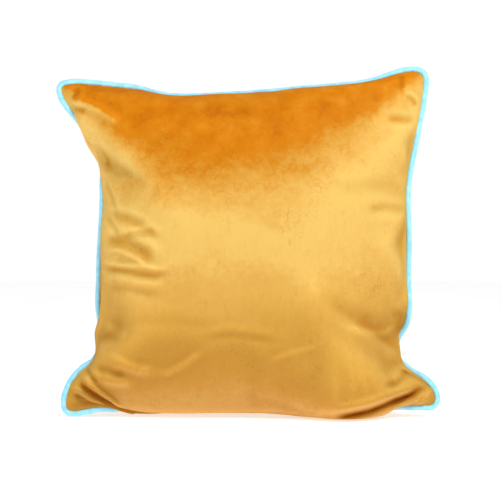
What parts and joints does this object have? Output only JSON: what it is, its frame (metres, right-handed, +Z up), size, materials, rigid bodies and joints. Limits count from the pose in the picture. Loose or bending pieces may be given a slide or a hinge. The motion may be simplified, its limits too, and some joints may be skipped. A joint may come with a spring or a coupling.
{
  "type": "throw pillow",
  "caption": "Square velvet throw pillow standing on its bottom edge, with a corded seam round its edge, a coil zip across the lower back and a stuffed insert.",
  "frame": {"origin": "bottom centre of the bounding box, on the surface that the pillow stands on", "axes": "+Z up, the front of the pillow faces -Y, and +X is to the right as seen from the front"},
  "size_m": [0.4658, 0.1646, 0.4266],
  "materials": {
    "gold_velvet": "short-pile woven velvet",
    "aqua_piping_fabric": "bias-cut cotton sateen",
    "cotton_filler_cord": "soft twisted cord",
    "sewing_thread": "spun polyester thread",
    "zip_tape": "woven herringbone tape",
    "zip_coil_nylon": "moulded nylon",
    "zip_slider_metal": "nickel-plated zinc alloy",
    "insert_cotton": "plain woven cotton",
    "polyester_fibre_fill": "siliconised hollow fibre"
  },
  "bodies": {
    "pillow": {"front_panel": "gold_velvet", "back_panel_upper": "gold_velvet", "back_panel_lower": "gold_velvet", "piping_sleeve": "aqua_piping_fabric", "piping_cord": "cotton_filler_cord", "edge_seam_thread": "sewing_thread", "zip_tape_upper": "zip_tape", "zip_tape_lower": "zip_tape", "zip_coil_upper": "zip_coil_nylon", "zip_coil_lower": "zip_coil_nylon", "zip_top_stop_upper": "zip_coil_nylon", "zip_top_stop_lower": "zip_coil_nylon", "zip_bottom_stop": "zip_coil_nylon", "zip_stitching_upper": "sewing_thread", "zip_stitching_lower": "sewing_thread", "insert_casing_front": "insert_cotton", "insert_casing_back": "insert_cotton", "insert_filling": "polyester_fibre_fill"},
    "slider": {"zip_slider": "zip_slider_metal"},
    "pull": {"zip_pull_tab": "zip_slider_metal"}
  },
  "joints": [
    {"name": "zip_slider_travel", "type": "hinge", "parent": "pillow", "child": "slider", "pos_m": [0, -0.368, 0.098], "axis": [0, 0, 1], "range_deg": [0, 35]},
    {"name": "zip_pull_swing", "type": "hinge", "parent": "slider", "child": "pull", "pos_m": [0.13636, 0.06446, 0.098], "axis": [0.9537, -0.3007, 0], "range_deg": [0, 160]}
  ]
}
